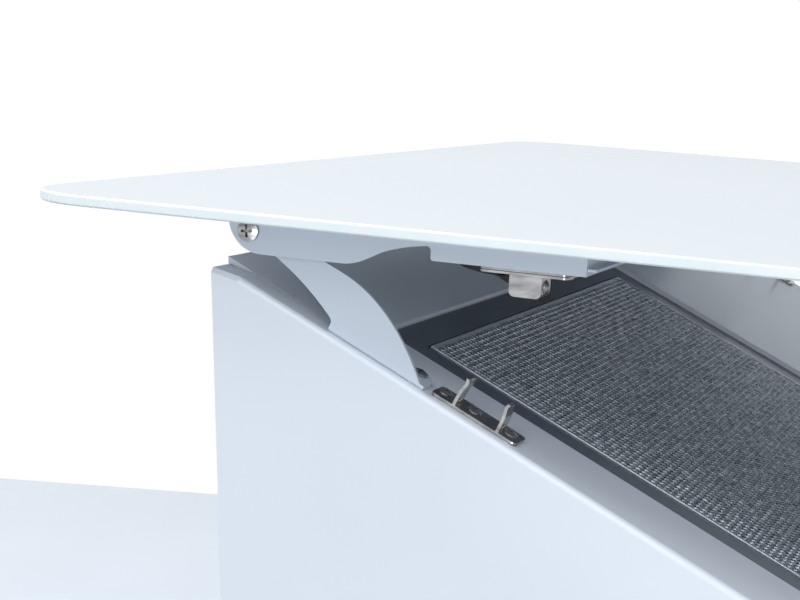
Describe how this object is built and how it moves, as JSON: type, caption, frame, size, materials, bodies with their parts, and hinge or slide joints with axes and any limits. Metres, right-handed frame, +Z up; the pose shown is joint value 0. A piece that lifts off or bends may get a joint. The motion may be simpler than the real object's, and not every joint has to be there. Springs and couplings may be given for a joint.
{
  "type": "range hood",
  "caption": "Inclined wall range hood whose glass front swings up on side hinges and snaps shut on double ball catches over a mesh grease filter.",
  "frame": {"origin": "middle of the four wall holes, in the plane of the wall", "axes": "+Z up, the hood's front faces -Y and its back lies on Y = 0, +X is to the right of someone who looks along +Y at its front"},
  "size_m": [0.6, 0.4118, 0.8924],
  "materials": {
    "white_paint": "satin white powder coat",
    "grey_paint": "satin light grey powder coat",
    "dark_paint": "dark grey coat",
    "white_glass": "polished, white from behind, cyan at its edges",
    "nickel": "bright nickel plate",
    "aluminium": "bare expanded and folded sheet",
    "zinc_steel": "zinc plate",
    "black_plastic": "fine grained black",
    "white_plastic": "smooth white",
    "silver_plastic": "silver lacquer",
    "frosted_lens": "frosted white diffuser"
  },
  "bodies": {
    "hood": {"body_wrap": "white_paint", "top_panel": "white_paint", "back_panel": "white_paint", "bottom_panel": "white_paint", "filter_seat": "dark_paint", "filter_frame": "aluminium", "filter_mesh_front": "aluminium", "filter_mesh_back": "aluminium", "filter_latch_plate": "aluminium", "scroll_housing": "black_plastic", "inlet_ring": "black_plastic", "inlet_guard": "black_plastic", "motor": "zinc_steel", "motor_bracket": "zinc_steel", "duct_collar": "black_plastic", "cable_gland": "black_plastic", "control_box": "white_plastic", "left_hinge_arm": "grey_paint", "right_hinge_arm": "grey_paint", "pivot_screws": "nickel", "pivot_nuts": "nickel", "pivot_washers": "white_plastic", "arm_screws": "nickel", "left_strike": "nickel", "right_strike": "nickel", "strike_screws": "nickel", "lower_glass": "white_glass", "lower_frame": "grey_paint", "button_block": "black_plastic", "left_lamp_ring": "nickel", "right_lamp_ring": "nickel", "left_lamp_lens": "frosted_lens", "right_lamp_lens": "frosted_lens", "chimney_lower": "white_paint"},
    "door": {"door_glass": "white_glass", "left_hinge_cheek": "grey_paint", "right_hinge_cheek": "grey_paint", "door_rail": "grey_paint", "left_catch": "nickel", "right_catch": "nickel", "catch_screws": "nickel", "door_bumpers": "black_plastic"},
    "fan": {"impeller": "black_plastic", "impeller_blades": "black_plastic", "impeller_ring": "black_plastic", "motor_shaft": "zinc_steel"},
    "left_flap": {"left_flap": "black_plastic"},
    "right_flap": {"right_flap": "black_plastic"},
    "latch": {"filter_latch": "black_plastic"},
    "chimney": {"chimney_upper": "white_paint", "chimney_bracket": "grey_paint"},
    "left_upper_ball": {"left_upper_ball": "nickel"},
    "left_lower_ball": {"left_lower_ball": "nickel"},
    "right_upper_ball": {"right_upper_ball": "nickel"},
    "right_lower_ball": {"right_lower_ball": "nickel"},
    "button_1": {"button_1": "silver_plastic"},
    "button_2": {"button_2": "silver_plastic"},
    "button_3": {"button_3": "silver_plastic"},
    "button_4": {"button_4": "silver_plastic"},
    "button_5": {"button_5": "silver_plastic"}
  },
  "joints": [
    {"name": "door_hinge", "type": "hinge", "parent": "hood", "child": "door", "pos_m": [0, -0.39576, 0.164], "axis": [-1, 0, 0], "range_deg": [-24.4, 45]},
    {"name": "left_upper_ball_press", "type": "slide", "parent": "door", "child": "left_upper_ball", "axis": [0, 0.0837, -0.9965], "range_m": [0, 0.001], "stiffness_N_per_m": 300, "springref_m": -0.003},
    {"name": "left_lower_ball_press", "type": "slide", "parent": "door", "child": "left_lower_ball", "axis": [0, -0.0837, 0.9965], "range_m": [0, 0.001], "stiffness_N_per_m": 300, "springref_m": -0.003},
    {"name": "right_upper_ball_press", "type": "slide", "parent": "door", "child": "right_upper_ball", "axis": [0, 0.0837, -0.9965], "range_m": [0, 0.001], "stiffness_N_per_m": 300, "springref_m": -0.003},
    {"name": "right_lower_ball_press", "type": "slide", "parent": "door", "child": "right_lower_ball", "axis": [0, -0.0837, 0.9965], "range_m": [0, 0.001], "stiffness_N_per_m": 300, "springref_m": -0.003},
    {"name": "button_1_press", "type": "slide", "parent": "hood", "child": "button_1", "axis": [0, 0.8729, 0.4879], "range_m": [0, 0.002], "stiffness_N_per_m": 400, "springref_m": -0.003},
    {"name": "button_2_press", "type": "slide", "parent": "hood", "child": "button_2", "axis": [0, 0.8729, 0.4879], "range_m": [0, 0.002], "stiffness_N_per_m": 400, "springref_m": -0.003},
    {"name": "button_3_press", "type": "slide", "parent": "hood", "child": "button_3", "axis": [0, 0.8729, 0.4879], "range_m": [0, 0.002], "stiffness_N_per_m": 400, "springref_m": -0.003},
    {"name": "button_4_press", "type": "slide", "parent": "hood", "child": "button_4", "axis": [0, 0.8729, 0.4879], "range_m": [0, 0.002], "stiffness_N_per_m": 400, "springref_m": -0.003},
    {"name": "button_5_press", "type": "slide", "parent": "hood", "child": "button_5", "axis": [0, 0.8729, 0.4879], "range_m": [0, 0.002], "stiffness_N_per_m": 400, "springref_m": -0.003},
    {"name": "impeller_spin", "type": "hinge", "parent": "hood", "child": "fan", "pos_m": [-0.09, -0.094, -0.02], "axis": [0, 1, 0], "continuous": true},
    {"name": "left_flap_lift", "type": "hinge", "parent": "hood", "child": "left_flap", "pos_m": [-0.004, -0.095, 0.2064], "axis": [0, 1, 0], "range_deg": [0, 75]},
    {"name": "right_flap_lift", "type": "hinge", "parent": "hood", "child": "right_flap", "pos_m": [0.004, -0.095, 0.2064], "axis": [0, -1, 0], "range_deg": [0, 75]},
    {"name": "filter_latch_slide", "type": "slide", "parent": "hood", "child": "latch", "axis": [0, -0.4879, 0.8729], "range_m": [0, 0.006], "stiffness_N_per_m": 300, "springref_m": -0.006},
    {"name": "chimney_slide", "type": "slide", "parent": "hood", "child": "chimney", "axis": [0, 0, 1], "range_m": [0, 0.38]}
  ]
}
